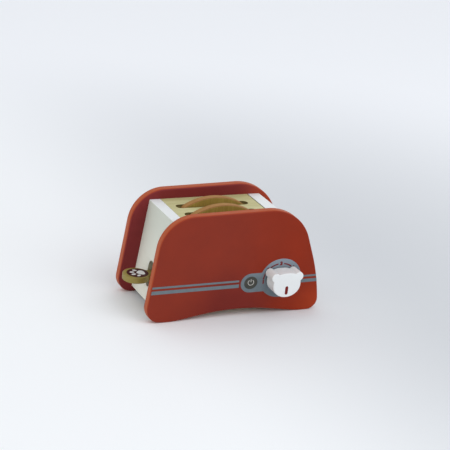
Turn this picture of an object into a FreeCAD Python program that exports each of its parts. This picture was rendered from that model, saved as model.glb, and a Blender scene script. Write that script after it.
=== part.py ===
import FreeCAD, Part
import math
import os
from FreeCAD import Vector

# Wooden toy toaster.  Millimetres, +Z up, X along the toaster, lever at -X, dial facing -Y.
# The model is laid out about the middle of the housing, and each piece is then moved so that
# the origin is the middle of the whole toy's footprint, on the surface that it stands on.

# ---------------------------------------------------------------- driving dimensions

# Two side panels, cut to one outline: corners before rounding, then their radii.
FOOT_LENGTH = 234.7        # foot corner to foot corner, with both ends straight
LEFT_HEIGHT = 131.5        # top corner over the leaning left end
RIGHT_HEIGHT = 134.8       # top corner over the leaning right end
LEFT_LEAN = 6.9            # degrees from upright
RIGHT_LEAN = 16.0
LEFT_FOOT_R = 19.0
RIGHT_FOOT_R = 13.8
LEFT_TOP_R = 44.0
RIGHT_TOP_R = 58.6
RIGHT_FOOT_IN = 3.0        # the right end is bowed: its corners, level from the straight end
RIGHT_BOW_OUT = 3.5
RIGHT_TOP_IN = 3.6
RIGHT_BOW_Z = 48.0
RIGHT_BOW_R = 250.0
ARCH_X = 1.8               # middle of the arch between the feet
ARCH_HALF = 82.0
ARCH_CORNER_Z = 12.5       # where the two slopes of the arch would meet
ARCH_TOP_R = 285.0
ARCH_FOOT_R = 75.0
PANEL_T = 11.5
PANEL_EDGE_R = 2.0
HOUSING_DEPTH = 106.0      # over both panels

# Boards between the panels.
LEFT_INSET = 19.3          # from the panel's leaning end to the end board's outer face
RIGHT_INSET = 18.3
LEFT_END_T = 13.6
RIGHT_END_T = 15.0
END_BOTTOM = 8.0
TOP_DROP = 11.5            # from the left top corner down to the boards' upper faces
TOP_T = 9.0
BOTTOM_T = 7.0
LEFT_GAP = 0.2             # shadow gaps at the ends of the top and bottom boards
RIGHT_GAP = 1.3
BOARD_EDGE_R = 0.8

# Toast slots, one each side of the middle.
SLOT_LEFT_MARGIN = 9.2     # from the top board's upper left edge to the slots
SLOT_RIGHT_MARGIN = 12.1
SLOT_W = 12.5
SLOT_PITCH = 27.0

# Toast slices: a bread outline with a flat base, a slight waist and a round crown.
TOAST_T = 10.0
TOAST_LEFT_ROOM = 6.9      # from a slice's shoulders to the slot's ends, before rounding
TOAST_RIGHT_ROOM = 4.8
TOAST_WAIST_IN = 4.0       # how far the waist and the base stand in from the shoulders
TOAST_BASE_IN = 3.0
TOAST_SHOWS = 10.4         # height of the crown over the top board
TOAST_WAIST_SHARE = 0.47   # height of the waist in the slice's own height
TOAST_BASE_R = 6.0
TOAST_WAIST_R = 90.0
TOAST_SHOULDER_R = 7.0
TOAST_CROWN_R = 74.0
TOAST_CROWN_SLOPE = 30.0   # degrees, of the sides that the round crown is struck between
TOAST_EDGE_R = 1.2

# Lever: one flat paddle with a round finger plate outside and a straight arm inside.
DISC_R = 16.3
DISC_STANDOFF = 16.0       # from the left end board to the plate's middle, with the lever down
LEVER_DOWN = 6.4           # travel below rest
LEVER_T = 7.5
LEVER_TOP = 43.3           # height of its upper face at rest
ARM_W = 13.0
ARM_END_GAP = 2.0          # from the arm's inner end to the toast slices
NECK_R = 2.5
LEVER_EDGE_R = 1.0
LEVER_SLOT_W = 15.0
LEVER_SLOT_TOP = 57.3
LEVER_SLOT_BOTTOM = 25.0

# Carriage that the slices stand on, and what guides and lifts it.
CARRIAGE_T = 7.0
CARRIAGE_END_ROOM = 4.5    # from the left end board
CARRIAGE_OVERHANG = 5.5    # past the right-hand end of the slices
FENCE_H = 12.0
FENCE_T = 6.0
FENCE_CLEARANCE = 0.5      # between a fence and a slice
ROD_D = 6.0
ROD_SHARE = 0.6            # spacing of the rods in the slices' width
ROD_SOCKET = 5.0           # depth of the blind socket under the top board
RUNNING_CLEARANCE = 0.07   # radial, rod in carriage and spindle in panel
GLUE_CLEARANCE = 0.02      # radial, dowel or rod in its glued hole
SPRING_WIRE = 0.8
SPRING_D = 9.0             # mean diameter of the coil
SPRING_HALF_TURNS = 11
SPRING_POCKET_D = 11.0
SPRING_POCKET_DEPTH = 4.0
SPRING_SEAT_GAP = 0.05

# Screws that hold the arm down on the carriage.
SCREW_D = 3.0
SCREW_HEAD_D = 5.6
SCREW_HEAD_H = 1.9
SCREW_LENGTH = 12.5
SCREW_INSET = 4.5          # from the carriage's end, and from the arm's end
RECESS_L = 3.0
RECESS_W = 0.7
RECESS_DEPTH = 1.1

# Dowels.
PANEL_DOWEL_D = 6.0
PANEL_DOWEL_IN_PANEL = 6.0
PANEL_DOWEL_IN_BOARD = 13.0
PANEL_DOWEL_HEIGHTS = (32.0, 98.0)
TOP_DOWEL_D = 4.0
TOP_DOWEL_Y = 31.0
BOTTOM_DOWEL_D = 3.0
BOTTOM_DOWEL_Y = 26.0
CROSS_DOWEL_REACH = 8.0    # into each of the two boards
DOWEL_END_GAP = 0.5        # left at each end of a dowel for the glue

# Dial knob: a rounded head with two round ears, turned on a steel spindle.
DIAL_INSET = 61.6          # from the right foot corner in to the dial's axis
DIAL_Z = 45.2
KNOB_T = 18.8
HEAD_HALF_W = 18.2
HEAD_HALF_H = 15.45
HEAD_BOTTOM_POWER = 2.0    # 2 gives an elliptical chin, and more a squarer one
HEAD_TOP_POWER = 2.6
HEAD_POINTS = 32           # points that the head's outline is drawn through
EAR_R = 5.6
EAR_X = 15.4
EAR_Z = 10.3               # of the ears' middles above the head's
KNOB_DROP = 0.65           # of the head's middle below the dial's axis
KNOB_NOTCH_R = 1.2
KNOB_FACE_R = 1.0
KNOB_BACK_R = 0.6
POINTER_W = 4.0
POINTER_L = 11.0
POINTER_TOP = -1.7         # from the dial's axis
POINTER_DEPTH = 0.9
SPINDLE_D = 6.0
SPINDLE_IN_KNOB = 11.0
SPINDLE_CHAMFER = 0.5
WASHER_D = 14.0
WASHER_T = 1.0
END_FLOAT = 0.2            # play along the spindle on each side of the panel
CAP_D = 12.0
CAP_T = 4.0
CAP_BORE = 3.0
CAP_EDGE_R = 1.2

# Modelling.
TOLERANCE = 1e-4
BORE_OVERRUN = 1.0         # how far a through cutter passes each face
ARC_SHARE = 0.98           # most of a side that the arcs at its two ends may take

# ---------------------------------------------------------------- derived places


def left_x(z, inset):
    """x at height z of a plane parallel to the left end and inset from it."""
    lean = math.radians(LEFT_LEAN)
    return -FOOT_LENGTH / 2 + z * math.tan(lean) + inset / math.cos(lean)


def right_x(z, inset):
    """x at height z of a plane parallel to the right end and inset from it."""
    lean = math.radians(RIGHT_LEAN)
    return FOOT_LENGTH / 2 - z * math.tan(lean) - inset / math.cos(lean)


FRONT = -HOUSING_DEPTH / 2
INNER_FRONT = FRONT + PANEL_T
INNER_BACK = -INNER_FRONT
LEFT_INNER = LEFT_INSET + LEFT_END_T   # inset of each end board's inner face
RIGHT_INNER = RIGHT_INSET + RIGHT_END_T
LEVEL_LEFT = LEFT_INNER + LEFT_GAP     # inset of each end of the level boards
LEVEL_RIGHT = RIGHT_INNER + RIGHT_GAP
TOP_SURFACE = LEFT_HEIGHT - TOP_DROP
BOTTOM_SURFACE = END_BOTTOM + BOTTOM_T
SLOT_LEFT = left_x(TOP_SURFACE, LEVEL_LEFT) + SLOT_LEFT_MARGIN
SLOT_RIGHT = right_x(TOP_SURFACE, LEVEL_RIGHT) - SLOT_RIGHT_MARGIN
SLOT_YS = (-SLOT_PITCH / 2, SLOT_PITCH / 2)
CARRIAGE_TOP = LEVER_TOP - LEVER_T
CARRIAGE_UNDER = CARRIAGE_TOP - CARRIAGE_T
TOAST_LEFT = SLOT_LEFT + TOAST_LEFT_ROOM
TOAST_RIGHT = SLOT_RIGHT - TOAST_RIGHT_ROOM
TOAST_X = (TOAST_LEFT + TOAST_RIGHT) / 2
TOAST_HALF = (TOAST_RIGHT - TOAST_LEFT) / 2
TOAST_WAIST = TOAST_HALF - TOAST_WAIST_IN
TOAST_BASE = TOAST_HALF - TOAST_BASE_IN
TOAST_H = TOP_SURFACE + TOAST_SHOWS - CARRIAGE_TOP
CARRIAGE_LEFT = left_x(LEVER_TOP, LEFT_INNER) + CARRIAGE_END_ROOM
CARRIAGE_RIGHT = TOAST_RIGHT + CARRIAGE_OVERHANG
DISC_X = left_x(CARRIAGE_TOP - LEVER_DOWN, LEFT_INSET) - DISC_STANDOFF
ARM_END = TOAST_LEFT - ARM_END_GAP
ROD_XS = (TOAST_X - ROD_SHARE * TOAST_HALF, TOAST_X + ROD_SHARE * TOAST_HALF)
INNER_FENCE_HALF = SLOT_PITCH / 2 - TOAST_T / 2 - FENCE_CLEARANCE
OUTER_FENCE_Y = SLOT_PITCH / 2 + TOAST_T / 2 + FENCE_CLEARANCE
DIAL_X = FOOT_LENGTH / 2 - DIAL_INSET
KNOB_BACK = FRONT - END_FLOAT - WASHER_T
SPINDLE_START = KNOB_BACK - SPINDLE_IN_KNOB
CAP_SEAT = INNER_FRONT + END_FLOAT + WASHER_T
SPINDLE_END = CAP_SEAT + CAP_BORE

# ---------------------------------------------------------------- shared shapes


def rounded_wire(corners, y):
    """Closed outline in the XZ plane at y, from corners (x, z, radius) taken in order.

    Where the arcs at the two ends of a side would run into each other, both are made smaller.
    """
    points = [Vector(x, y, z) for x, z, radius in corners]
    sides = [points[(i + 1) % len(points)] - points[i] for i in range(len(points))]
    halves = [(-sides[i - 1]).getAngle(sides[i]) / 2 for i in range(len(points))]
    wanted = [corner[2] / math.tan(half) for corner, half in zip(corners, halves)]
    shares = [min(1, ARC_SHARE * side.Length / (wanted[i] + wanted[(i + 1) % len(points)]))
              for i, side in enumerate(sides)]
    arcs = []
    for i, corner in enumerate(points):
        reach = wanted[i] * min(shares[i - 1], shares[i])
        fitted = reach * math.tan(halves[i])
        back = -sides[i - 1].normalize()
        ahead = sides[i].normalize()
        middle = (back + ahead).normalize()
        centre = corner + middle * (fitted / math.sin(halves[i]))
        arcs.append((corner + back * reach, centre - middle * fitted, corner + ahead * reach))
    edges = []
    for i, (start, bulge, end) in enumerate(arcs):
        edges.append(Part.Arc(start, bulge, end).toShape())
        edges.append(Part.makeLine(end, arcs[(i + 1) % len(arcs)][0]))
    return Part.Wire(edges)


def polygon_prism(points, sweep):
    """Solid swept from a flat polygon."""
    return Part.Face(Part.makePolygon(points + points[:1])).extrude(sweep)


def rod(diameter, start, end):
    """Round bar or round cutter between two points."""
    axis = end - start
    return Part.makeCylinder(diameter / 2, axis.Length, start, axis)


def slot_bar(start, end, width, sweep):
    """Bar with round ends: start and end are the centres of its ends, sweep its thickness."""
    across = sweep.cross(end - start).normalize() * (width / 2)
    bar = polygon_prism([start + across, end + across, end - across, start - across], sweep)
    return bar.fuse([rod(width, start, start + sweep), rod(width, end, end + sweep)]).removeSplitter()


def same(a, b):
    """Whether two places agree to within the modelling tolerance."""
    return abs(a - b) < TOLERANCE


def rim_edges(solid, axis, level):
    """Edges of a solid that lie in the plane where the given axis equals level."""
    def on_plane(edge):
        points = [vertex.Point for vertex in edge.Vertexes]
        points.append(edge.CenterOfMass)
        return all(same(getattr(point, axis), level) for point in points)
    return [edge for edge in solid.Edges if on_plane(edge)]


def dial_point(y, z=0.0, x=0.0):
    """Point at x and z from the dial's axis."""
    return Vector(DIAL_X + x, y, DIAL_Z + z)


def leaning_board(corners):
    """Board that fills the depth between the panels, from its (x, z) corners."""
    points = [Vector(x, INNER_FRONT, z) for x, z in corners]
    return polygon_prism(points, Vector(0, INNER_BACK - INNER_FRONT, 0))


# ---------------------------------------------------------------- dowels and their holes


def panel_dowel_lines():
    """Middle of each panel dowel's joint: a point on the inner face and the way into the board."""
    lines = []
    for face, inward in ((INNER_FRONT, 1), (INNER_BACK, -1)):
        for z in PANEL_DOWEL_HEIGHTS:
            for x in (left_x(z, LEFT_INSET + LEFT_END_T / 2),
                      right_x(z, RIGHT_INSET + RIGHT_END_T / 2)):
                lines.append((Vector(x, face, z), Vector(0, inward, 0)))
    return lines


def cross_dowel_lines(z, y):
    """Joints of a level board with the end boards, at height z and at y each side of the middle."""
    lines = []
    for side in (-y, y):
        lines.append((Vector(left_x(z, LEFT_INNER), side, z), Vector(1, 0, 0)))
        lines.append((Vector(right_x(z, RIGHT_INNER), side, z), Vector(-1, 0, 0)))
    return lines


def dowels(lines, diameter, behind, ahead, gap):
    """One solid per line, from `behind` before the joint's face to `ahead` past it."""
    return Part.makeCompound([
        rod(diameter, point - way * (behind - gap), point + way * (ahead - gap))
        for point, way in lines])


def top_dowel_lines():
    return cross_dowel_lines(TOP_SURFACE - TOP_T / 2, TOP_DOWEL_Y)


def bottom_dowel_lines():
    return cross_dowel_lines(END_BOTTOM + BOTTOM_T / 2, BOTTOM_DOWEL_Y)


def panel_dowel_set(diameter, gap):
    return dowels(panel_dowel_lines(), diameter, PANEL_DOWEL_IN_PANEL, PANEL_DOWEL_IN_BOARD, gap)


def top_dowel_set(diameter, gap):
    return dowels(top_dowel_lines(), diameter, CROSS_DOWEL_REACH, CROSS_DOWEL_REACH, gap)


def bottom_dowel_set(diameter, gap):
    return dowels(bottom_dowel_lines(), diameter, CROSS_DOWEL_REACH, CROSS_DOWEL_REACH, gap)


def glued_hole(diameter):
    return diameter + 2 * GLUE_CLEARANCE


# ---------------------------------------------------------------- housing


def panel_outline(y):
    """Outline of both panels: rounded, leaning, bowed at the right, arched between the feet."""
    half = FOOT_LENGTH / 2
    bow = (right_x(RIGHT_BOW_Z, 0) + RIGHT_BOW_OUT, RIGHT_BOW_Z, RIGHT_BOW_R)
    right_top = (right_x(RIGHT_HEIGHT, 0) - RIGHT_TOP_IN, RIGHT_HEIGHT, RIGHT_TOP_R)
    return rounded_wire([
        (-half, 0, LEFT_FOOT_R),
        (ARCH_X - ARCH_HALF, 0, ARCH_FOOT_R),
        (ARCH_X, ARCH_CORNER_Z, ARCH_TOP_R),
        (ARCH_X + ARCH_HALF, 0, ARCH_FOOT_R),
        (half - RIGHT_FOOT_IN, 0, RIGHT_FOOT_R),
        bow,
        right_top,
        (left_x(LEFT_HEIGHT, 0), LEFT_HEIGHT, LEFT_TOP_R)], y)


def side_panel(outer, inner):
    """Panel between two values of y, with softened edges and the blind dowel holes."""
    low = min(outer, inner)
    panel = Part.Face(panel_outline(low)).extrude(Vector(0, PANEL_T, 0))
    rims = rim_edges(panel, "y", low) + rim_edges(panel, "y", low + PANEL_T)
    panel = panel.makeFillet(PANEL_EDGE_R, rims)
    return panel.cut(panel_dowel_set(glued_hole(PANEL_DOWEL_D), 0))


def spindle_bore():
    """Running bore for the dial's spindle, through the front panel."""
    return rod(SPINDLE_D + 2 * RUNNING_CLEARANCE,
               dial_point(FRONT - BORE_OVERRUN), dial_point(INNER_FRONT + BORE_OVERRUN))


def front_panel():
    return side_panel(FRONT, INNER_FRONT).cut(spindle_bore())


def back_panel():
    return side_panel(-FRONT, INNER_BACK)


def end_board(edge_x, inset, inner):
    """Leaning end board between two insets; edge_x gives x for a height and an inset."""
    outer_top = Vector(edge_x(TOP_SURFACE, inset), 0, TOP_SURFACE)
    board = leaning_board([
        (edge_x(END_BOTTOM, inset), END_BOTTOM), (edge_x(END_BOTTOM, inner), END_BOTTOM),
        (edge_x(TOP_SURFACE, inner), TOP_SURFACE), (outer_top.x, TOP_SURFACE)])
    top_edge = [edge for edge in rim_edges(board, "z", TOP_SURFACE)
                if same(edge.CenterOfMass.distanceToPoint(outer_top), 0)]
    board = board.makeFillet(BOARD_EDGE_R, top_edge)
    board = board.cut(panel_dowel_set(glued_hole(PANEL_DOWEL_D), 0))
    board = board.cut(top_dowel_set(glued_hole(TOP_DOWEL_D), 0))
    return board.cut(bottom_dowel_set(glued_hole(BOTTOM_DOWEL_D), 0))


def left_end_board():
    """End board with the upright slot that the lever's arm runs in."""
    start = left_x(LEVER_SLOT_BOTTOM, 0)
    sweep = Vector(left_x(LEVER_SLOT_TOP, LEFT_INNER) + LEFT_END_T - start, 0, 0)
    low = Vector(start, 0, LEVER_SLOT_BOTTOM + LEVER_SLOT_W / 2)
    high = Vector(start, 0, LEVER_SLOT_TOP - LEVER_SLOT_W / 2)
    board = end_board(left_x, LEFT_INSET, LEFT_INNER)
    return board.cut(slot_bar(low, high, LEVER_SLOT_W, sweep))


def level_board(low, thickness):
    """Level board between the two end boards."""
    high = low + thickness
    return leaning_board([
        (left_x(low, LEVEL_LEFT), low), (right_x(low, LEVEL_RIGHT), low),
        (right_x(high, LEVEL_RIGHT), high), (left_x(high, LEVEL_LEFT), high)])


def top_board():
    """Plywood top with two toast slots and the sockets for the guide rods underneath."""
    low = TOP_SURFACE - TOP_T
    board = level_board(low, TOP_T)
    for y in SLOT_YS:
        left = Vector(SLOT_LEFT + SLOT_W / 2, y, low)
        right = Vector(SLOT_RIGHT - SLOT_W / 2, y, low)
        board = board.cut(slot_bar(left, right, SLOT_W, Vector(0, 0, TOP_T)))
    board = board.cut(top_dowel_set(glued_hole(TOP_DOWEL_D), 0))
    return board.cut(guide_rods(glued_hole(ROD_D)))


def bottom_board():
    """Plywood floor that the guide rods and springs stand in."""
    board = level_board(END_BOTTOM, BOTTOM_T)
    board = board.cut(bottom_dowel_set(glued_hole(BOTTOM_DOWEL_D), 0))
    return board.cut(guide_rods(glued_hole(ROD_D)))


# ---------------------------------------------------------------- carriage, rods and springs


def guide_rod(x, diameter):
    top = TOP_SURFACE - TOP_T + ROD_SOCKET
    return rod(diameter, Vector(x, 0, END_BOTTOM), Vector(x, 0, top))


def guide_rods(diameter):
    return Part.makeCompound([guide_rod(x, diameter) for x in ROD_XS])


def rod_bores():
    return guide_rods(ROD_D + 2 * RUNNING_CLEARANCE)


def carriage_base():
    """Board under the slices, bored for the rods and pocketed for the springs."""
    width = 2 * (OUTER_FENCE_Y + FENCE_T)
    base = Part.makeBox(CARRIAGE_RIGHT - CARRIAGE_LEFT, width, CARRIAGE_T,
                        Vector(CARRIAGE_LEFT, -width / 2, CARRIAGE_UNDER))
    for x in ROD_XS:
        mouth = Vector(x, 0, CARRIAGE_UNDER)
        base = base.cut(rod(SPRING_POCKET_D, mouth, mouth + Vector(0, 0, SPRING_POCKET_DEPTH)))
    return base.cut(rod_bores()).cut(screw_set(GLUE_CLEARANCE))


def fence(low_y, high_y):
    """Rail on the carriage that keeps the foot of a slice in line."""
    left = TOAST_X - TOAST_BASE
    rail = Part.makeBox(2 * TOAST_BASE, high_y - low_y, FENCE_H, Vector(left, low_y, CARRIAGE_TOP))
    return rail.makeFillet(BOARD_EDGE_R, rim_edges(rail, "z", CARRIAGE_TOP + FENCE_H))


def middle_fence():
    return fence(-INNER_FENCE_HALF, INNER_FENCE_HALF).cut(rod_bores())


def front_fence():
    return fence(-OUTER_FENCE_Y - FENCE_T, -OUTER_FENCE_Y)


def rear_fence():
    return fence(OUTER_FENCE_Y, OUTER_FENCE_Y + FENCE_T)


def return_spring(x):
    """Open coil around a guide rod, from the floor board to the carriage's pocket.

    Each half turn is an arc in a plane of its own, tilted to climb half the pitch.
    """
    low = BOTTOM_SURFACE + SPRING_WIRE / 2 + SPRING_SEAT_GAP
    high = CARRIAGE_UNDER + SPRING_POCKET_DEPTH - SPRING_WIRE / 2 - SPRING_SEAT_GAP
    rise = (high - low) / SPRING_HALF_TURNS
    halves = []
    side = 1
    for i in range(SPRING_HALF_TURNS):
        start = Vector(x + side * SPRING_D / 2, 0, low + i * rise)
        end = Vector(x - side * SPRING_D / 2, 0, start.z + rise)
        section = Part.Face(Part.Wire(Part.makeCircle(SPRING_WIRE / 2, start, Vector(0, 1, 0))))
        axis = Vector(side * rise, 0, SPRING_D)
        halves.append(section.revolve((start + end) / 2, axis, 180))
        side = -side
    return halves[0].fuse(halves[1:])


# ---------------------------------------------------------------- lever


def lever():
    """Paddle cut from one board: finger plate, neck and arm, drilled for its screws."""
    under = LEVER_TOP - LEVER_T
    centre = Vector(DISC_X, 0, under)
    plate = rod(2 * DISC_R, centre, centre + Vector(0, 0, LEVER_T))
    arm = Part.makeBox(ARM_END - DISC_X, ARM_W, LEVER_T, Vector(DISC_X, -ARM_W / 2, under))
    paddle = plate.fuse(arm).removeSplitter()
    neck_x = DISC_X + math.sqrt(DISC_R ** 2 - (ARM_W / 2) ** 2)
    half_way = under + LEVER_T / 2
    neck = [edge for edge in paddle.Edges
            if same(edge.CenterOfMass.x, neck_x) and same(edge.CenterOfMass.z, half_way)]
    paddle = paddle.makeFillet(NECK_R, neck)
    rims = rim_edges(paddle, "z", under) + rim_edges(paddle, "z", LEVER_TOP)
    return paddle.makeFillet(LEVER_EDGE_R, rims).cut(screw_set(GLUE_CLEARANCE))


def screw(x, clearance):
    """Countersunk screw, or the hole for one when it is given a clearance."""
    head = SCREW_HEAD_D / 2 + clearance
    shank = SCREW_D / 2 + clearance
    low = LEVER_TOP - SCREW_LENGTH - clearance
    neck = LEVER_TOP - SCREW_HEAD_H
    profile = Part.makePolygon([
        Vector(x, 0, LEVER_TOP), Vector(x + head, 0, LEVER_TOP), Vector(x + shank, 0, neck),
        Vector(x + shank, 0, low), Vector(x, 0, low), Vector(x, 0, LEVER_TOP)])
    return Part.Face(profile).revolve(Vector(x, 0, 0), Vector(0, 0, 1), 360)


def screw_xs():
    return (CARRIAGE_LEFT + SCREW_INSET, ARM_END - SCREW_INSET)


def screw_set(clearance):
    return Part.makeCompound([screw(x, clearance) for x in screw_xs()])


def lever_screws():
    """The two screws, each with a cross recess in its head."""
    screws = []
    for x in screw_xs():
        low = LEVER_TOP - RECESS_DEPTH
        long_way = Part.makeBox(RECESS_L, RECESS_W, RECESS_DEPTH,
                                Vector(x - RECESS_L / 2, -RECESS_W / 2, low))
        cross_way = Part.makeBox(RECESS_W, RECESS_L, RECESS_DEPTH,
                                 Vector(x - RECESS_W / 2, -RECESS_L / 2, low))
        screws.append(screw(x, 0).cut(long_way.fuse(cross_way)))
    return Part.makeCompound(screws)


# ---------------------------------------------------------------- toast


def toast(y):
    """Slice standing on the carriage, centred on y."""
    foot = CARRIAGE_TOP
    slope = math.radians(TOAST_CROWN_SLOPE)
    crown_corner = TOAST_H + TOAST_CROWN_R * (1 / math.cos(slope) - 1)
    shoulder = crown_corner - TOAST_HALF * math.tan(slope)
    right = [(TOAST_BASE, 0, TOAST_BASE_R),
             (TOAST_WAIST, TOAST_WAIST_SHARE * TOAST_H, TOAST_WAIST_R),
             (TOAST_HALF, shoulder, TOAST_SHOULDER_R)]
    left = [(-x, z, radius) for x, z, radius in reversed(right)]
    corners = right + [(0, crown_corner, TOAST_CROWN_R)] + left
    placed = [(TOAST_X + x, foot + z, radius) for x, z, radius in corners]
    low = y - TOAST_T / 2
    slice_ = Part.Face(rounded_wire(placed, low)).extrude(Vector(0, TOAST_T, 0))
    rims = rim_edges(slice_, "y", low) + rim_edges(slice_, "y", low + TOAST_T)
    return slice_.makeFillet(TOAST_EDGE_R, rims)


# ---------------------------------------------------------------- dial


def head_outline(y):
    """Closed curve of the knob's head at y, from an ellipse below to a flatter top.

    It starts inside an ear, so that no seam is left on the head.
    """
    start = math.atan2(EAR_Z, EAR_X)
    points = []
    for i in range(HEAD_POINTS):
        angle = start + 2 * math.pi * i / HEAD_POINTS
        across = math.cos(angle)
        up = math.sin(angle)
        power = HEAD_TOP_POWER if up > 0 else HEAD_BOTTOM_POWER
        x = math.copysign(HEAD_HALF_W * abs(across) ** (2 / power), across)
        z = math.copysign(HEAD_HALF_H * abs(up) ** (2 / power), up)
        points.append(dial_point(y, z - KNOB_DROP, x))
    outline = Part.BSplineCurve()
    outline.interpolate(points, PeriodicFlag=True)
    return outline.toShape()


def dial_knob():
    """Solid knob with a sunk pointer on its face and a blind hole for the spindle."""
    face = KNOB_BACK - KNOB_T
    through = Vector(0, KNOB_T, 0)
    knob = Part.Face(Part.Wire(head_outline(face))).extrude(through)
    for side in (-1, 1):
        ear = dial_point(face, EAR_Z - KNOB_DROP, side * EAR_X)
        knob = knob.fuse(rod(2 * EAR_R, ear, ear + through))
    knob = knob.removeSplitter()
    notches = [edge for edge in knob.Edges
               if same(edge.CenterOfMass.y, face + KNOB_T / 2) and len(edge.Vertexes) == 2]
    knob = knob.makeFillet(KNOB_NOTCH_R, notches)
    knob = knob.makeFillet(KNOB_FACE_R, rim_edges(knob, "y", face))
    knob = knob.makeFillet(KNOB_BACK_R, rim_edges(knob, "y", KNOB_BACK))
    high = dial_point(face, POINTER_TOP - POINTER_W / 2)
    low = dial_point(face, POINTER_TOP - POINTER_L + POINTER_W / 2)
    knob = knob.cut(slot_bar(low, high, POINTER_W, Vector(0, POINTER_DEPTH, 0)))
    return knob.cut(rod(glued_hole(SPINDLE_D), dial_point(SPINDLE_START), dial_point(KNOB_BACK)))


def knob_spindle():
    spindle = rod(SPINDLE_D, dial_point(SPINDLE_START), dial_point(SPINDLE_END))
    ends = rim_edges(spindle, "y", SPINDLE_START) + rim_edges(spindle, "y", SPINDLE_END)
    return spindle.makeChamfer(SPINDLE_CHAMFER, ends)


def washer(y):
    """Flat washer whose near face is at y."""
    ring = rod(WASHER_D, dial_point(y), dial_point(y + WASHER_T))
    return ring.cut(rod(glued_hole(SPINDLE_D), dial_point(y), dial_point(y + WASHER_T)))


def spindle_cap():
    """Push-on cap that keeps the spindle in the panel."""
    end = CAP_SEAT + CAP_T
    cap = rod(CAP_D, dial_point(CAP_SEAT), dial_point(end))
    cap = cap.makeFillet(CAP_EDGE_R, rim_edges(cap, "y", end))
    return cap.cut(rod(glued_hole(SPINDLE_D), dial_point(CAP_SEAT), dial_point(SPINDLE_END)))


# ---------------------------------------------------------------- all pieces, moved to the origin

pieces = {
    "front_panel": front_panel(),
    "back_panel": back_panel(),
    "left_end_board": left_end_board(),
    "right_end_board": end_board(right_x, RIGHT_INSET, RIGHT_INNER),
    "top_board": top_board(),
    "bottom_board": bottom_board(),
    "panel_dowels": panel_dowel_set(PANEL_DOWEL_D, DOWEL_END_GAP),
    "top_board_dowels": top_dowel_set(TOP_DOWEL_D, DOWEL_END_GAP),
    "bottom_board_dowels": bottom_dowel_set(BOTTOM_DOWEL_D, DOWEL_END_GAP),
    "guide_rod_left": guide_rod(ROD_XS[0], ROD_D),
    "guide_rod_right": guide_rod(ROD_XS[1], ROD_D),
    "return_spring_left": return_spring(ROD_XS[0]),
    "return_spring_right": return_spring(ROD_XS[1]),
    "carriage_base": carriage_base(),
    "middle_fence": middle_fence(),
    "front_fence": front_fence(),
    "rear_fence": rear_fence(),
    "lever": lever(),
    "lever_screws": lever_screws(),
    "front_toast": toast(SLOT_YS[0]),
    "rear_toast": toast(SLOT_YS[1]),
    "dial_knob": dial_knob(),
    "knob_spindle": knob_spindle(),
    "knob_washer": washer(KNOB_BACK),
    "spindle_washer": washer(CAP_SEAT - WASHER_T),
    "spindle_cap": spindle_cap(),
}

reach = Part.makeCompound([pieces["front_panel"], pieces["back_panel"], pieces["lever"],
                           pieces["dial_knob"]]).optimalBoundingBox(False, False)
origin = Vector(round((reach.XMin + reach.XMax) / 2, 4), round((reach.YMin + reach.YMax) / 2, 4), 0)

os.makedirs("parts", exist_ok=True)
for name, shape in pieces.items():
    shape.translate(-origin)
    shape.exportStep("parts/" + name + ".step")
    print(name, "valid" if shape.isValid() else "NOT VALID", "solids", len(shape.Solids))
print("origin moved by", -origin)
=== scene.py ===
import math

import bmesh
import bpy
from mathutils import Matrix, Vector


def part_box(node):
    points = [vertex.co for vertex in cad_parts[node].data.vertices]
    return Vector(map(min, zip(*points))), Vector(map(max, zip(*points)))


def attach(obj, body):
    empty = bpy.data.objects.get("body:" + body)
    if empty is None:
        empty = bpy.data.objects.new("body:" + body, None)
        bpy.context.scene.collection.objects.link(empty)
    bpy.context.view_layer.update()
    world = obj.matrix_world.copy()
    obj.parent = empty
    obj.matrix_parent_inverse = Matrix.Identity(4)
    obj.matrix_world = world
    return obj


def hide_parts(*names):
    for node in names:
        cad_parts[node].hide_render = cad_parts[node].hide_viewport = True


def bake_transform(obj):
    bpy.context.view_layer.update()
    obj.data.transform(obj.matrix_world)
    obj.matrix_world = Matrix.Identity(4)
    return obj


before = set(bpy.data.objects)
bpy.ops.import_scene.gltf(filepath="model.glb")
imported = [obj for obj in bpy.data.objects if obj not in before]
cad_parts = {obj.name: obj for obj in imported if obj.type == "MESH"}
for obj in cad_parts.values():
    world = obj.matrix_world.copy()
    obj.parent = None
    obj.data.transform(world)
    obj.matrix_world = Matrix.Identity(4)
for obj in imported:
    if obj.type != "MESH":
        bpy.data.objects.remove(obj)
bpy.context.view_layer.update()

# ---------------------------------------------------------------- Camera
# A long lens about 1.8 m away, at the left front corner and a little above the toy. It is held
# slightly turned, so upright edges lean to the left.

millimetre = 0.001
camera_place = Vector((-750.63, -1499.0, 736.5)) * millimetre
camera_azimuth = math.radians(26.69)      # of the line of sight, from +Y towards +X
camera_dip = math.radians(20.72)
camera_turn = math.radians(6.26)
camera_lens = 119.2

sight = Vector((
    math.sin(camera_azimuth) * math.cos(camera_dip),
    math.cos(camera_azimuth) * math.cos(camera_dip),
    -math.sin(camera_dip)))
camera = bpy.data.objects.new("camera", bpy.data.cameras.new("camera"))
bpy.context.scene.collection.objects.link(camera)
camera.data.lens = camera_lens
camera.data.sensor_width = 36.0
camera.data.clip_end = 50.0
level_view = sight.to_track_quat("-Z", "Y").to_matrix()
camera.matrix_world = Matrix.Translation(camera_place) @ (
    level_view @ Matrix.Rotation(camera_turn, 3, "Z")).to_4x4()
bpy.context.scene.camera = camera

# ---------------------------------------------------------------- Side panels
# Two boards of medium-density fibreboard, routed to one outline with rounded edges and sprayed
# with brick red satin lacquer. The routed edges are coloured lighter and more orange than the
# faces. Each board is glued to the end boards with hidden dowels.


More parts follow.
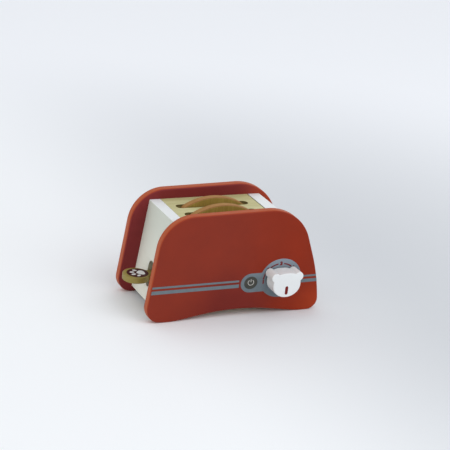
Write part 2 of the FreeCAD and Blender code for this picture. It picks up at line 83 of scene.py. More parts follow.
def tint(code):
    """Linear colour from a hexadecimal paint code."""
    levels = [int(code[i:i + 2], 16) / 255 for i in (0, 2, 4)]
    return tuple(v / 12.92 if v <= 0.04045 else ((v + 0.055) / 1.055) ** 2.4 for v in levels) + (1,)


class Nodes:
    """A node tree in the making: its nodes are added and linked one by one."""

    tree = None

    def put(self, socket, value):
        """Link a socket to another node's output, or set it to a constant."""
        if isinstance(value, bpy.types.NodeSocket):
            self.tree.links.new(value, socket)
        else:
            socket.default_value = value

    def add(self, kind, sockets, output, **settings):
        """New node with these socket values and settings; gives the named output."""
        node = self.tree.nodes.new(kind)
        for setting, value in settings.items():
            setattr(node, setting, value)
        for socket, value in sockets.items():
            self.put(node.inputs[socket], value)
        return node.outputs[output]

    def calc(self, operation, first, second=0.0, clamp=False):
        return self.add("ShaderNodeMath", {0: first, 1: second}, 0,
                        operation=operation, use_clamp=clamp)

    def fade(self, value, low, high):
        """0 at and below the low value, 1 at and above the high one, and smooth between."""
        return self.add("ShaderNodeMapRange", {"Value": value, "From Min": low, "From Max": high},
                        "Result", interpolation_type="SMOOTHSTEP")


class Finish(Nodes):
    """A surface made of nodes that read the piece's own coordinates, in metres."""

    def __init__(self, name):
        self.material = bpy.data.materials.new(name)
        self.material.use_nodes = True
        self.tree = self.material.node_tree
        self.shader = self.tree.nodes["Principled BSDF"]
        self.coordinates = self.tree.nodes.new("ShaderNodeTexCoord")
        self.place = self.coordinates.outputs["Object"]
        self.relief = None

    def stretch(self, x, y, z):
        """Own coordinates times a scale for each axis, in features per metre."""
        return self.add("ShaderNodeMapping", {"Vector": self.place, "Scale": (x, y, z)}, "Vector")

    def noise(self, scale, detail=3.0, roughness=0.5, vector=None, distortion=0.0):
        return self.add("ShaderNodeTexNoise", {
            "Vector": vector or self.place, "Scale": scale, "Detail": detail,
            "Roughness": roughness, "Distortion": distortion}, "Fac")

    def ramp(self, factor, *stops):
        """Colour or level by factor; each stop is a position and a paint code or grey level."""
        node = self.tree.nodes.new("ShaderNodeValToRGB")
        while len(node.color_ramp.elements) < len(stops):
            node.color_ramp.elements.new(0.5)
        for element, (position, paint) in zip(node.color_ramp.elements, stops):
            element.position = position
            element.color = tint(paint) if isinstance(paint, str) else (paint, paint, paint, 1)
        self.put(node.inputs["Fac"], factor)
        return node.outputs["Color"]

    def mix(self, factor, first, second, blend="MIX"):
        """Two colours, or two sockets that carry them, mixed by factor."""
        node = self.tree.nodes.new("ShaderNodeMix")
        node.data_type = "RGBA"
        node.blend_type = blend
        for socket, value in zip((node.inputs[0], node.inputs[6], node.inputs[7]),
                                 (factor, first, second)):
            self.put(socket, tint(value) if isinstance(value, str) else value)
        return node.outputs[2]

    def along(self, axis):
        """The piece's own coordinate along an axis, in metres."""
        return self.add("ShaderNodeSeparateXYZ", {"Vector": self.place}, axis)

    def slope(self, axis):
        """How far the surface faces along an axis, from -1 to 1."""
        normal = self.coordinates.outputs["Normal"]
        return self.add("ShaderNodeSeparateXYZ", {"Vector": normal}, axis)

    def facing(self, axis, low, high):
        """0 where the surface turns away from an axis, 1 where it faces along it."""
        return self.fade(self.calc("ABSOLUTE", self.slope(axis)), low, high)

    def below_faces(self, mirror, apart, half):
        """Depth in metres under the faces of two upright boards, each apart from a mirror plane."""
        across = self.calc("ABSOLUTE", self.calc("SUBTRACT", self.along("Y"), mirror))
        off_middle = self.calc("ABSOLUTE", self.calc("SUBTRACT", across, apart))
        return self.calc("SUBTRACT", half, off_middle)

    def near(self, point, far, close):
        """1 within the close distance of a point in metres, 0 beyond the far one."""
        away = self.add("ShaderNodeVectorMath", {0: self.place, 1: point}, "Value",
                        operation="DISTANCE")
        return self.fade(away, far, close)

    def looking_to(self, mirror):
        """1 on a board's faces that look to a mirror plane between two boards, else 0."""
        inward = self.calc("SUBTRACT", mirror, self.along("Y"))
        return self.calc("GREATER_THAN", self.calc("MULTIPLY", inward, self.slope("Y")), 0.01)

    def bump(self, height, depth, strength=1.0):
        """Relief of the given depth in metres, on top of what is there already."""
        sockets = {"Height": height, "Distance": depth, "Strength": strength}
        if self.relief:
            sockets["Normal"] = self.relief
        self.relief = self.add("ShaderNodeBump", sockets, "Normal")

    def done(self, colour, roughness, **constants):
        """Join colour, roughness and relief to the shader, and set its constants."""
        colour = tint(colour) if isinstance(colour, str) else colour
        self.put(self.shader.inputs["Base Color"], colour)
        self.put(self.shader.inputs["Roughness"], roughness)
        if self.relief:
            self.put(self.shader.inputs["Normal"], self.relief)
        for name, value in constants.items():
            self.shader.inputs[name.replace("_", " ")].default_value = value
        return self.material


def dress(material, *nodes):
    """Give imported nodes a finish."""
    for name in nodes:
        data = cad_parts[name].data
        data.materials.clear()
        data.materials.append(material)


panel_low, panel_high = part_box("front_panel")
back_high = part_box("back_panel")[1]
panel_half = (panel_high.y - panel_low.y) / 2
mirror_plane = (panel_low.y + back_high.y) / 2
panel_apart = (back_high.y - panel_low.y) / 2 - panel_half


def red_lacquer():
    """Red of both panels, with light and shade painted in: painted light that turns the red more
    orange towards the right, painted shade over the arch and on the inside faces, whose right end
    turns orange as painted light, and a painted pool of light at the right foot. The routed edges
    are lighter and more orange than the faces."""
    over_arch = (0.0, panel_low.y, 0.008)
    right_foot = (panel_high.x, panel_low.y, 0.005)
    finish = Finish("red_lacquer")
    cloud = finish.noise(22, detail=5, roughness=0.62)
    face = finish.ramp(cloud, (0.3, "7F2A1A"), (0.7, "882D1A"))
    # Painted warm light: towards the right the red turns more orange.
    painted_warm_light = finish.ramp(cloud, (0.3, "86260B"), (0.7, "8F280A"))
    along = finish.along("X")
    face = finish.mix(finish.fade(along, -0.02, 0.09), face, painted_warm_light)
    # Painted shade: a darker, duller red over the arch.
    painted_arch_shade = finish.ramp(cloud, (0.3, "6E2018"), (0.7, "762219"))
    face = finish.mix(finish.near(over_arch, 0.07, 0.015), face, painted_arch_shade)
    # Painted light: a lighter, more orange red round the right foot.
    light = finish.ramp(cloud, (0.3, "9A320F"), (0.7, "A2350F"))
    face = finish.mix(finish.near(right_foot, 0.045, 0.0), face, light)
    # Painted shade: the faces that look in between the panels are a darker, duller red.
    painted_inner_shade = finish.ramp(cloud, (0.3, "742628"), (0.7, "7E2A2C"))
    # Painted light: towards their right end these inside faces turn orange.
    painted_inner_shade = finish.mix(finish.fade(along, 0.035, 0.09), painted_inner_shade, "A43C1C")
    face = finish.mix(finish.looking_to(mirror_plane), face, painted_inner_shade)
    speck = finish.noise(2400, detail=2)
    face = finish.mix(finish.ramp(speck, (0.55, 0.0), (0.75, 0.3)), face, "96402C")
    streak = finish.noise(1, detail=4, roughness=0.65, vector=finish.stretch(70, 1100, 70))
    # The routed edges are lighter and more orange, lightest across the middle of their thickness
    # and darker where they meet the faces.
    edge = finish.ramp(streak, (0.3, "A84C25"), (0.7, "B6582D"))
    depth = finish.below_faces(mirror_plane, panel_apart, panel_half)
    edge = finish.mix(finish.fade(depth, 0.001, 0.0045), "A8421F", edge)
    colour = finish.mix(finish.fade(depth, 0.00015, 0.0014), face, edge)
    finish.bump(finish.noise(900, detail=3, roughness=0.6), 0.00004)
    finish.bump(finish.noise(140, detail=2), 0.00008)
    roughness = finish.ramp(finish.noise(60, detail=4), (0.3, 0.42), (0.7, 0.52))
    return finish.done(colour, roughness, Specular_IOR_Level=0.17)


dress(red_lacquer(), "front_panel", "back_panel")

# ---------------------------------------------------------------- Printed front
# Grey-blue ink, screen printed on the front panel: two stripes, and a plate that joins a power
# mark to the dial. Red digits and arcs are printed over the plate, round the knob.

spindle_low, spindle_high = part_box("knob_spindle")
panel_face = panel_low.y
dial_axis = ((spindle_low.x + spindle_high.x) / 2, (spindle_low.z + spindle_high.z) / 2)
ink_depth = 0.1 * millimetre
over_depth = 0.05 * millimetre


def dial_offset(x, z):
    """Point of the front face, from millimetres right of and above the dial's axis."""
    return (dial_axis[0] + x * millimetre, dial_axis[1] + z * millimetre)


def arc(centre, radius, start, end, steps):
    """Points on an arc in the XZ plane, from one angle in degrees to another."""
    angles = [math.radians(start + (end - start) * i / steps) for i in range(steps + 1)]
    return [(centre[0] + radius * math.cos(a), centre[1] + radius * math.sin(a)) for a in angles]


def round_outline(centre, radius, count):
    """Points of a whole circle in the XZ plane."""
    return arc(centre, radius, 0, 360 - 360 / count, count - 1)


def new_piece(name, mesh, body, material):
    """Link a finished mesh as a piece that rides on a body."""
    piece = bpy.data.objects.new(name, mesh)
    bpy.context.scene.collection.objects.link(piece)
    mesh.materials.clear()
    mesh.materials.append(material)
    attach(piece, body)
    return piece


def film(outlines, face, depth):
    """Mesh of flat ink shapes that stand proud of a face looking to -Y."""
    build = bmesh.new()
    for outline in outlines:
        back = [build.verts.new((x, face, z)) for x, z in outline]
        front = [build.verts.new((x, face - depth, z)) for x, z in outline]
        count = len(outline)
        build.faces.new(back)
        build.faces.new(list(reversed(front)))
        for i in range(count):
            j = (i + 1) % count
            build.faces.new((back[j], back[i], front[i], front[j]))
    bmesh.ops.recalc_face_normals(build, faces=build.faces)
    bmesh.ops.triangulate(build, faces=[f for f in build.faces if len(f.verts) > 4],
                          ngon_method="EAR_CLIP")
    mesh = bpy.data.meshes.new("film")
    build.to_mesh(mesh)
    build.free()
    return mesh


def ink(name, dark, light, pale=None):
    """Dull screen ink: fine pinholes and an uneven film, and paler towards the top."""
    finish = Finish(name)
    cloud = finish.noise(120, detail=4, roughness=0.7)
    colour = finish.ramp(cloud, (0.3, dark), (0.7, light))
    if pale:
        colour = finish.mix(finish.fade(finish.along("Z"), 0.045, 0.075), colour, pale)
    finish.bump(finish.noise(3000, detail=2), 0.00002)
    roughness = finish.ramp(finish.noise(400), (0.3, 0.5), (0.7, 0.6))
    return finish.done(colour, roughness, Specular_IOR_Level=0.25)


print_widen = 1.09         # the round prints are this much wider than high
plate_middle = dial_offset(0.6, 0.8)
plate_radius = 25.1 * millimetre
tab_middle = dial_offset(-35.6, -2.8)
tab_radius = 12.3 * millimetre
neck_round = 1.5 * millimetre


def widened(mesh):
    """Stretch a print sideways from the dial's axis."""
    middle = Matrix.Translation((dial_axis[0], 0, 0))
    mesh.transform(middle @ Matrix.Diagonal((print_widen, 1, 1, 1)) @ middle.inverted())
    return mesh


def plate_outline():
    """Round dial field run into a round-ended tab, with small hollows where they meet."""
    points = arc(tab_middle, tab_radius, 270, 90, 40)
    for way in (1, -1):
        edge = tab_middle[1] + way * tab_radius
        hollow_z = edge + way * neck_round
        rise = hollow_z - plate_middle[1]
        across = math.sqrt((plate_radius + neck_round) ** 2 - rise ** 2)
        hollow = (plate_middle[0] - across, hollow_z)
        turn = math.degrees(math.atan2(rise, -across))
        inward = math.degrees(math.atan2(-rise, across))
        bend = arc(hollow, neck_round, -90 * way, inward, 8)
        if way > 0:
            points += bend
            start = turn
        else:
            round_field = arc(plate_middle, plate_radius, start, turn, 120)
            points += round_field[1:-1] + list(reversed(bend))
    return points


stripe_levels = ((-0.5, 1.95), (-7.7, -3.25))   # low and high edge, from the dial's axis
stripe_start = -166.7                           # where both begin, level with the axis
stripe_end_lean = 0.121                         # their left ends lean as the panel's end does
stripe_stops = (-54.7, -54.4)                   # short of the plate's tab
stripe_gap = 1.6                                # from the plate to the right stripes
edge_place = 50.69         # right end of the panel, level with the axis
edge_lean = 0.2335         # how far that end leans in for each millimetre up
edge_round = 2.0
edge_wrap = 75.0           # degrees that the ink goes round that edge
edge_steps = 8


def left_stripe(low, high, stop):
    """Outline of a stripe whose left end is cut along the leaning panel end."""
    return [dial_offset(stripe_start + low * stripe_end_lean, low), dial_offset(stop, low),
            dial_offset(stop, high), dial_offset(stripe_start + high * stripe_end_lean, high)]


def right_stripe(build, low, high):
    """Strip of ink from the plate over the rounded right end of the panel, as a closed shell."""
    slant = math.hypot(1.0, edge_lean)
    rows = []
    for step in range(-1, edge_steps + 1):
        angle = math.radians(edge_wrap * max(step, 0) / edge_steps)
        back = edge_round * (1 - math.cos(angle)) * millimetre
        lift = ink_depth * math.cos(angle)
        push = ink_depth * math.sin(angle) / slant
        ring = []
        for level in (low, high):
            if step < 0:
                rise = (level * millimetre + dial_axis[1] - plate_middle[1]) / plate_radius
                reach = plate_radius / millimetre * print_widen
                along = reach * math.sqrt(1 - rise ** 2) + stripe_gap
            else:
                along = edge_place - edge_lean * level - edge_round * (1 - math.sin(angle)) * slant
            x, z = dial_offset(along, level)
            under = (x, panel_face + back, z)
            over = (x + push, panel_face + back - lift, z + push * edge_lean)
            ring += [under, over] if level == low else [over, under]
        rows.append([build.verts.new(place) for place in ring])
    for near, far in zip(rows, rows[1:]):
        for i in range(4):
            build.faces.new((near[i], near[(i + 1) % 4], far[(i + 1) % 4], far[i]))
    build.faces.new(rows[0])
    build.faces.new(rows[-1])


def stripes():
    """Mesh of the two stripes, left and right of the plate."""
    build = bmesh.new()
    outlines = [left_stripe(*levels, stop) for levels, stop in zip(stripe_levels, stripe_stops)]
    build.from_mesh(film(outlines, panel_face, ink_depth))
    for levels in stripe_levels:
        right_stripe(build, *levels)
    bmesh.ops.recalc_face_normals(build, faces=build.faces)
    mesh = bpy.data.meshes.new("stripes")
    build.to_mesh(mesh)
    build.free()
    return mesh


plate_ink = ink("plate_ink", "646F76", "6E7980", pale="88929E")
new_piece("printed_stripes", stripes(), "housing", plate_ink)
new_piece("printed_plate", widened(film([plate_outline()], panel_face, ink_depth)),
          "housing", plate_ink)

mark_middle = dial_offset(-35.6, -2.6)
mark_radius = 8.1 * millimetre
symbol_middle = dial_offset(-35.6, -2.1)
symbol_radius = 3.45 * millimetre
symbol_stroke = 0.72 * millimetre
bar_low = 0.5 * millimetre
bar_high = 4.2 * millimetre
ring_start = 125           # degrees; the ring is open at the top, round the bar
ring_end = 415
over_face = panel_face - ink_depth


def band(centre, radius, stroke, start, end, steps):
    """Outline of a curved stroke."""
    return (arc(centre, radius + stroke / 2, start, end, steps)
            + arc(centre, radius - stroke / 2, end, start, steps))


power_disc = film([round_outline(mark_middle, mark_radius, 60)], over_face, over_depth)
new_piece("power_mark", widened(power_disc), "housing",
          ink("dark_ink", "3B3B36", "474741"))
power_bar = [(symbol_middle[0] + side * symbol_stroke / 2, symbol_middle[1] + level)
             for side, level in ((-1, bar_low), (1, bar_low), (1, bar_high), (-1, bar_high))]
power_ring = band(symbol_middle, symbol_radius, symbol_stroke, ring_start, ring_end, 48)
power_sign = film([power_bar, power_ring], over_face - over_depth, over_depth)
new_piece("power_symbol", widened(power_sign), "housing",
          ink("symbol_ink", "BEBBB6", "CAC7C2"))

scale_middle = dial_offset(-0.2, -0.7)
scale_radius = 20.3 * millimetre
scale_first = 186.5        # angle of digit 1, in degrees
scale_step = -48.0
scale_digits = 5
digit_height = 4.3 * millimetre
digit_swell = 0.44 * millimetre
arc_reach = 10.0           # degrees kept clear each side of a digit
arc_stroke = 1.5 * millimetre


class Recipe(Nodes):
    """A shape made by geometry nodes from named sizes."""

    def __init__(self, name, sizes):
        self.tree = bpy.data.node_groups.new(name, "GeometryNodeTree")
        self.given = sizes
        for size in sizes:
            self.tree.interface.new_socket(size, in_out="INPUT", socket_type="NodeSocketFloat")
        self.tree.interface.new_socket("Geometry", in_out="OUTPUT",
                                       socket_type="NodeSocketGeometry")
        self.sizes = self.tree.nodes.new("NodeGroupInput").outputs

    def spot(self, x=0.0, y=0.0, z=0.0):
        return self.add("ShaderNodeCombineXYZ", {"X": x, "Y": y, "Z": z}, "Vector")

    def made(self, geometry, material):
        """Plain mesh of the finished shape, with its normals outward."""
        whole = self.add("GeometryNodeRealizeInstances", {"Geometry": geometry}, "Geometry")
        whole = self.add("GeometryNodeSetMaterial", {
            "Geometry": whole, "Material": material}, "Geometry")
        self.put(self.tree.nodes.new("NodeGroupOutput").inputs["Geometry"], whole)
        holder = bpy.data.objects.new(self.tree.name, bpy.data.meshes.new(self.tree.name))
        bpy.context.scene.collection.objects.link(holder)
        maker = holder.modifiers.new("shape", "NODES")
        maker.node_group = self.tree
        for socket in self.tree.interface.items_tree:
            if socket.in_out == "INPUT":
                maker[socket.identifier] = self.given[socket.name]
        graph = bpy.context.evaluated_depsgraph_get()
        mesh = bpy.data.meshes.new_from_object(holder.evaluated_get(graph))
        bpy.data.objects.remove(holder)
        return joined([mesh])


def joined(meshes):
    """One mesh from several, with doubled points merged and normals outward."""
    build = bmesh.new()
    for mesh in meshes:
        build.from_mesh(mesh)
    bmesh.ops.remove_doubles(build, verts=build.verts, dist=0.002 * millimetre)
    bmesh.ops.recalc_face_normals(build, faces=build.faces)
    whole = bpy.data.meshes.new("joined")
    build.to_mesh(whole)
    build.free()
    return whole


def dial_digit(text, angle):
    """Mesh of one upright digit, centred on the ring of digits."""
    curve = bpy.data.curves.new("digit", "FONT")
    curve.body = text
    curve.size = digit_height * 1.4
    curve.offset = digit_swell
    curve.align_x = "CENTER"
    curve.align_y = "CENTER"
    curve.extrude = over_depth / 2
    shaper = bpy.data.objects.new("digit", curve)
    bpy.context.scene.collection.objects.link(shaper)
    graph = bpy.context.evaluated_depsgraph_get()
    mesh = bpy.data.meshes.new_from_object(shaper.evaluated_get(graph))
    bpy.data.objects.remove(shaper)
    x, z = arc(scale_middle, scale_radius, angle, angle, 1)[0]
    upright = Matrix.Rotation(math.radians(90), 4, "X")
    mesh.transform(Matrix.Translation((x, over_face - over_depth / 2, z)) @ upright)
    return mesh


def dial_arcs(material):
    """Mesh of the arcs between the digits: one flat stroke, set round the ring by turns."""
    recipe = Recipe("dial_arcs", {
        "Radius": scale_radius, "Stroke": arc_stroke, "Depth": over_depth,
        "Count": scale_digits - 1,
        "Start": math.radians(scale_first - arc_reach), "Step": math.radians(scale_step),
        "Sweep": math.radians(scale_step + 2 * arc_reach)})
    sizes = recipe.sizes
    stroke = recipe.add("GeometryNodeCurveArc", {
        "Resolution": 24, "Radius": sizes["Radius"], "Start Angle": sizes["Start"],
        "Sweep Angle": sizes["Sweep"]}, "Curve")
    section = recipe.add("GeometryNodeCurvePrimitiveQuadrilateral", {
        "Width": sizes["Stroke"], "Height": sizes["Depth"]}, "Curve")
    stroke = recipe.add("GeometryNodeCurveToMesh", {
        "Curve": stroke, "Profile Curve": section, "Fill Caps": True}, "Mesh")
    spots = recipe.add("GeometryNodeMeshLine", {
        "Count": sizes["Count"], "Offset": recipe.spot()}, "Mesh")
    index = recipe.add("GeometryNodeInputIndex", {}, "Index")
    turn = recipe.spot(z=recipe.calc("MULTIPLY", index, sizes["Step"]))
    ring = recipe.add("GeometryNodeInstanceOnPoints", {
        "Points": spots, "Instance": stroke, "Rotation": turn}, "Instances")
    mesh = recipe.made(ring, material)
    upright = Matrix.Rotation(math.radians(90), 4, "X")
    middle = (scale_middle[0], over_face - over_depth / 2, scale_middle[1])
    mesh.transform(Matrix.Translation(middle) @ upright)
    return mesh


scale_ink = ink("scale_ink", "6A0E0C", "781612")
scale_marks = [dial_digit(str(i + 1), scale_first + scale_step * i) for i in range(scale_digits)]
new_piece("dial_scale", widened(joined(scale_marks + [dial_arcs(scale_ink)])),
          "housing", scale_ink)

# ---------------------------------------------------------------- End boards and top board
# The leaning end boards are sprayed white, and the lever's slot is routed afterwards, so its
# walls are bare. Between them lies a plywood top under clear matt varnish, with two slots
# routed right through it.


def white_lacquer(name, broad_face_painted_light=None, slot_wall=None):
    """White paint. On the faces of a board that are seen along X, light and shade can be painted
    in:
    lighter low down, darker and greener high up. The walls of its slot, seen along Y, can have a
    bare colour."""
    finish = Finish(name)
    cloud = finish.noise(40, detail=4, roughness=0.6)
    colour = finish.ramp(cloud, (0.3, "E6E8E9"), (0.7, "EAECED"))
    if broad_face_painted_light:
        # Painted bounce light and shade: these faces grade from lighter at the foot to darker and
        # greener at the top.
        painted_bounce_light = finish.mix(finish.fade(finish.along("Z"), 0.02, 0.125), *broad_face_painted_light)
        colour = finish.mix(finish.facing("X", 0.5, 0.9), colour, painted_bounce_light)
    if slot_wall:
        colour = finish.mix(finish.facing("Y", 0.4, 0.9), colour, slot_wall)
    grain = finish.noise(1, detail=5, vector=finish.stretch(900, 40, 60))
    finish.bump(grain, 0.00003)
    finish.bump(finish.noise(1100, detail=3), 0.00003)
    roughness = finish.ramp(finish.noise(90, detail=3), (0.3, 0.36), (0.7, 0.46))
    return finish.done(colour, roughness)


def plywood():
    finish = Finish("plywood")
    figure = finish.noise(1, detail=5, roughness=0.6, vector=finish.stretch(9, 170, 170),
                          distortion=0.6)
    face = finish.ramp(figure, (0.25, "B4AE79"), (0.5, "C3BE8C"), (0.75, "D2CDA0"))
    fibre = finish.noise(1, detail=4, roughness=0.7, vector=finish.stretch(70, 2600, 2600))
    face = finish.mix(finish.ramp(fibre, (0.45, 0.0), (0.8, 0.5)), face, "A98F58")
    layer = finish.add("ShaderNodeTexWave", {
        "Vector": finish.place, "Scale": 53.0, "Distortion": 0.4, "Detail": 1.0}, "Fac",
        bands_direction="Z")
    cut = finish.ramp(layer, (0.35, "6F6236"), (0.55, "9C8C54"))
    colour = finish.mix(finish.facing("Z", 0.5, 0.9), cut, face)
    finish.bump(fibre, 0.00006)
    roughness = finish.ramp(fibre, (0.3, 0.5), (0.8, 0.66))
    return finish.done(colour, roughness)


plywood_finish = plywood()
# The end boards' outer faces carry painted light low down and painted shade high up.
dress(white_lacquer("end_board_white", broad_face_painted_light=("F4F4EA", "D0D5CB"), slot_wall="BDBAA6"),
      "left_end_board", "right_end_board")
dress(plywood_finish, "top_board", "bottom_board")

# ---------------------------------------------------------------- Dowels, rods and carriage
# Hidden joints and runners of turned beech. The carriage is a plywood board with three beech
# rails glued on it, between which the slices stand.


def beech():
    finish = Finish("beech")
    figure = finish.noise(1, detail=4, vector=finish.stretch(160, 160, 14), distortion=0.4)
    colour = finish.ramp(figure, (0.3, "B68E58"), (0.7, "CBA672"))
    fleck = finish.noise(1, detail=2, vector=finish.stretch(2200, 2200, 320))
    colour = finish.mix(finish.ramp(fleck, (0.6, 0.0), (0.72, 0.7)), colour, "8C6236")
    finish.bump(fleck, 0.00005)
    return finish.done(colour, finish.ramp(figure, (0.3, 0.5), (0.7, 0.62)))


dress(beech(), "panel_dowels", "top_board_dowels", "bottom_board_dowels", "guide_rod_left",
      "guide_rod_right", "middle_fence", "front_fence", "rear_fence")
dress(plywood_finish, "carriage_base")

# ---------------------------------------------------------------- Springs, screws and spindle
# Bright drawn wire and zinc plated steel, bought in. They are the only metal in the toy. The two
# springs stand round the guide rods, and their closed end turns press on board and carriage.


def zinc_steel():
    finish = Finish("zinc_steel")
    brushed = finish.noise(1, detail=3, vector=finish.stretch(400, 3000, 3000))
    colour = finish.ramp(brushed, (0.3, "A9ABAC"), (0.7, "BDBFC1"))
    finish.bump(brushed, 0.00001)
    return finish.done(colour, finish.ramp(brushed, (0.3, 0.28), (0.7, 0.4)), Metallic=1.0)


steel = zinc_steel()
dress(steel, "lever_screws", "knob_spindle", "knob_washer", "spindle_washer", "spindle_cap")

spring_low, spring_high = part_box("return_spring_left")
other_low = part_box("return_spring_right")[0]
spring_wire = 0.8 * millimetre
spring_turns = 5.5
turn_points = 40


def coil_springs():
    """Mesh of both return springs, as wire drawn along a helix with a closed turn at each end."""
    recipe = Recipe("return_springs", {
        "Coil Radius": (spring_high.x - spring_low.x - spring_wire) / 2, "Wire": spring_wire,
        "Height": spring_high.z - spring_low.z, "Turns": spring_turns,
        "Apart": other_low.x - spring_low.x})
    sizes = recipe.sizes
    calc = recipe.calc
    wire = sizes["Wire"]
    count = calc("ADD", calc("MULTIPLY", sizes["Turns"], turn_points), 1)
    points = recipe.add("GeometryNodeMeshLine", {"Count": count, "Offset": recipe.spot()}, "Mesh")
    turned = calc("DIVIDE", recipe.add("GeometryNodeInputIndex", {}, "Index"), turn_points)
    angle = calc("MULTIPLY", turned, math.tau)
    open_turns = calc("SUBTRACT", sizes["Turns"], 2)
    climbed = calc("DIVIDE", calc("SUBTRACT", turned, 1), open_turns, clamp=True)
    first = calc("MINIMUM", turned, 1)
    last = calc("MAXIMUM", calc("SUBTRACT", calc("SUBTRACT", turned, 1), open_turns), 0)
    closed = calc("MULTIPLY", wire, calc("ADD", calc("ADD", first, last), 0.5))
    span = calc("SUBTRACT", sizes["Height"], calc("MULTIPLY", wire, 3))
    level = calc("ADD", closed, calc("MULTIPLY", span, climbed))
    helix = recipe.spot(calc("MULTIPLY", sizes["Coil Radius"], calc("COSINE", angle)),
                        calc("MULTIPLY", sizes["Coil Radius"], calc("SINE", angle)), level)
    points = recipe.add("GeometryNodeSetPosition", {
        "Geometry": points, "Position": helix}, "Geometry")
    line = recipe.add("GeometryNodeMeshToCurve", {"Mesh": points}, "Curve")
    section = recipe.add("GeometryNodeCurvePrimitiveCircle", {
        "Resolution": 10, "Radius": calc("MULTIPLY", wire, 0.5)}, "Curve")
    coil = recipe.add("GeometryNodeCurveToMesh", {
        "Curve": line, "Profile Curve": section, "Fill Caps": True}, "Mesh")
    rods = recipe.add("GeometryNodeMeshLine", {
        "Count": 2, "Offset": recipe.spot(sizes["Apart"])}, "Mesh")
    pair = recipe.add("GeometryNodeInstanceOnPoints", {
        "Points": rods, "Instance": coil}, "Instances")
    mesh = recipe.made(pair, steel)
    mesh.transform(Matrix.Translation((
        (spring_low.x + spring_high.x) / 2, (spring_low.y + spring_high.y) / 2, spring_low.z)))
    return mesh


coils = bpy.data.objects.new("return_coils", coil_springs())
bpy.context.scene.collection.objects.link(coils)
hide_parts("return_spring_left", "return_spring_right")
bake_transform(coils)

# ---------------------------------------------------------------- Lever
# A paddle sawn from one board of oiled wood, with its edges eased by hand. A dark red disc
# with a white paw is printed on the finger plate.


def lever_wood():
    finish = Finish("lever_wood")
    figure = finish.noise(1, detail=5, roughness=0.6, vector=finish.stretch(25, 230, 420),
                          distortion=0.8)
    colour = finish.ramp(figure, (0.25, "82712F"), (0.55, "92813B"), (0.8, "A09148"))
    fibre = finish.noise(1, detail=4, roughness=0.7, vector=finish.stretch(110, 2400, 2400))
    colour = finish.mix(finish.ramp(fibre, (0.5, 0.0), (0.85, 0.55)), colour, "6A5626")
    finish.bump(fibre, 0.00007)
    return finish.done(colour, finish.ramp(fibre, (0.3, 0.45), (0.8, 0.6)))


dress(lever_wood(), "lever")
lever_low, lever_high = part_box("lever")
paddle_radius = 16.3 * millimetre
paddle_middle = Vector((
    lever_low.x + paddle_radius, (lever_low.y + lever_high.y) / 2, lever_high.z))
print_radius = 13.2 * millimetre
print_shift = 1.8 * millimetre


def laid_flat(mesh, level):
    """Turn a film made for the front face to lie face up on the finger plate."""
    mesh.transform(Matrix.Translation((paddle_middle.x + print_shift, paddle_middle.y, level))
                   @ Matrix.Rotation(math.radians(-90), 4, "X"))
    return mesh


def pebble(x, y, long_way, short_way, angle, pinch=0.0):
    """Egg-shaped outline in millimetres; pinch narrows the end that the angle points to."""
    points = []
    turn = math.radians(angle)
    for i in range(32):
        a = math.tau * i / 32
        u = long_way * math.cos(a)
        v = short_way * math.sin(a) * (1 - pinch * math.cos(a))
        points.append(((x + u * math.cos(turn) - v * math.sin(turn)) * millimetre,
                       (y + u * math.sin(turn) + v * math.cos(turn)) * millimetre))
    return points


paw_pad = pebble(3.9, 0.0, 5.0, 6.0, 180, pinch=0.35)
paw_toes = [
    pebble(-1.0, -7.8, 2.8, 1.85, 215), pebble(-6.0, -3.2, 3.0, 1.95, 190),
    pebble(-6.0, 3.2, 3.0, 1.95, 170), pebble(-1.0, 7.8, 2.8, 1.85, 145)]
plate_disc = film([round_outline((0, 0), print_radius, 72)], 0, ink_depth)
new_piece("finger_plate_disc", laid_flat(plate_disc, paddle_middle.z),
          "carriage", ink("maroon_ink", "3A080A", "460D10"))
plate_paw = film([paw_pad] + paw_toes, 0, over_depth)
new_piece("finger_plate_paw", laid_flat(plate_paw, paddle_middle.z + ink_depth),
          "carriage", ink("white_ink", "DCDCDA", "E6E6E4"))

# ---------------------------------------------------------------- Toast slices
# Sawn from a blank of pale wood. The faces are left bare and the edge all round is stained
# brown as a crust, with the stain just turning the corner.


toast_low, toast_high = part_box("rear_toast")
toast_half = (toast_high.y - toast_low.y) / 2
toast_apart = (toast_high.y + toast_low.y) / 2 - mirror_plane


def toast_wood():
    finish = Finish("toast_wood")
    figure = finish.noise(1, detail=5, roughness=0.6, vector=finish.stretch(240, 240, 16),
                          distortion=0.5)
    face = finish.ramp(figure, (0.25, "896D2A"), (0.5, "967B36"), (0.8, "A68E46"))
    fibre = finish.noise(1, detail=4, roughness=0.75, vector=finish.stretch(2400, 2400, 120))
    face = finish.mix(finish.ramp(fibre, (0.42, 0.0), (0.8, 0.65)), face, "5E4520")
    stain = finish.noise(1, detail=4, vector=finish.stretch(120, 700, 120))
    crust = finish.ramp(stain, (0.3, "986B34"), (0.7, "AA7D44"))
    depth = finish.below_faces(mirror_plane, toast_apart, toast_half)
    crust = finish.mix(finish.fade(depth, 0.0006, 0.0022), "8A5428", crust)
    colour = finish.mix(finish.fade(depth, 0.0001, 0.0006), face, crust)
    finish.bump(fibre, 0.00007)
    return finish.done(colour, finish.ramp(fibre, (0.3, 0.55), (0.8, 0.72)), Specular_IOR_Level=0.3)


dress(toast_wood(), "front_toast", "rear_toast")

# ---------------------------------------------------------------- Dial knob
# One turned and sawn block with two round ears, lacquered white. Its pointer is a short
# groove, painted dark red. The knob is pushed on a steel spindle.

dress(white_lacquer("knob_white"), "dial_knob")
knob_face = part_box("dial_knob")[0].y
groove_depth = 0.9 * millimetre
groove_paint = 0.78 * millimetre       # thickness of the paint at the groove's floor
groove_width = 3.98 * millimetre
groove_top = dial_offset(0, -3.7)
groove_foot = dial_offset(0, -10.7)
groove_outline = (arc(groove_top, groove_width / 2, 0, 180, 24)
                  + arc(groove_foot, groove_width / 2, 180, 360, 24))
new_piece("pointer_paint", film([groove_outline], knob_face + groove_depth, groove_paint),
          "dial", ink("pointer_red", "6A0806", "780E0A"))
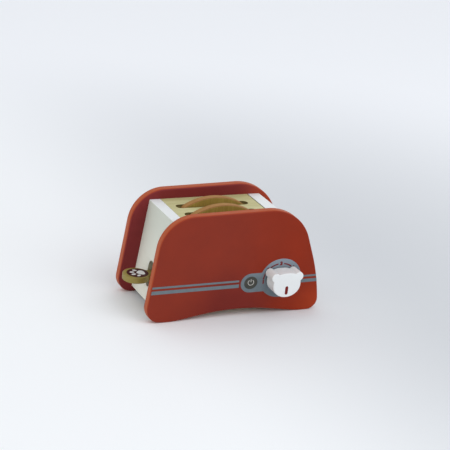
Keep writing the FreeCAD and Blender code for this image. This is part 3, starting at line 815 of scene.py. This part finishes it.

# ---------------------------------------------------------------- Floor and light
# A pale studio floor with painted light on its left, which lifts the toy's shadow there, and a
# little darker on the right; one large soft lamp from the right front, a faint warm one low on
# the left, and an even pale room.

floor_half = 6.0
floor_turn = (-0.15, 0.3)      # the floor darkens between these, from left to right
floor_fade = (0.25, 1.2)       # and turns to its far colour between these distances
floor_mesh = bpy.data.meshes.new("floor")
floor_mesh.from_pydata(
    [(-floor_half, -floor_half, 0), (floor_half, -floor_half, 0),
     (floor_half, floor_half, 0), (-floor_half, floor_half, 0)], [], [(0, 1, 2, 3)])
floor = bpy.data.objects.new("floor", floor_mesh)
bpy.context.scene.collection.objects.link(floor)
floor_finish = Finish("floor")
floor_grain = floor_finish.noise(900, detail=3)
# Painted light: the left of the floor is paler, to lift the toy's shadow there.
floor_left_painted_light = floor_finish.ramp(floor_grain, (0.3, "F6F7FA"), (0.7, "FAFBFD"))
floor_right = floor_finish.ramp(floor_grain, (0.3, "D2D4D8"), (0.7, "D6D8DC"))
floor_across = floor_finish.fade(floor_finish.along("X"), *floor_turn)
floor_near = floor_finish.mix(floor_across, floor_left_painted_light, floor_right)
floor_away = floor_finish.add("ShaderNodeVectorMath", {0: floor_finish.place}, "Value",
                              operation="LENGTH")
floor_colour = floor_finish.mix(floor_finish.fade(floor_away, *floor_fade), floor_near, "FAFBFF")
floor_mesh.materials.append(floor_finish.done(floor_colour, 0.7, Specular_IOR_Level=0.2))


lamp_aim_height = 0.06


def lamp(name, place, size, power, colour):
    """Square soft lamp that looks at the toy."""
    light = bpy.data.lights.new(name, "AREA")
    light.size = size
    light.energy = power
    light.color = colour
    holder = bpy.data.objects.new(name, light)
    bpy.context.scene.collection.objects.link(holder)
    aim = Vector((0, 0, lamp_aim_height)) - Vector(place)
    turn = aim.to_track_quat("-Z", "Y").to_matrix().to_4x4()
    holder.matrix_world = Matrix.Translation(place) @ turn


lamp("key", (0.9, -1.9, 2.3), 2.4, 24.0, (0.96, 0.985, 1.0))
lamp("fill", (-2.4, -0.9, 0.5), 1.5, 4.0, (1.0, 0.93, 0.4))

room = bpy.data.worlds.new("room")
bpy.context.scene.world = room
room.use_nodes = True
room_light = room.node_tree.nodes["Background"]
room_light.inputs["Color"].default_value = (0.95, 0.975, 1.0, 1)
room_light.inputs["Strength"].default_value = 0.84

# ---------------------------------------------------------------- View transform

bpy.context.scene.view_settings.view_transform = "Standard"
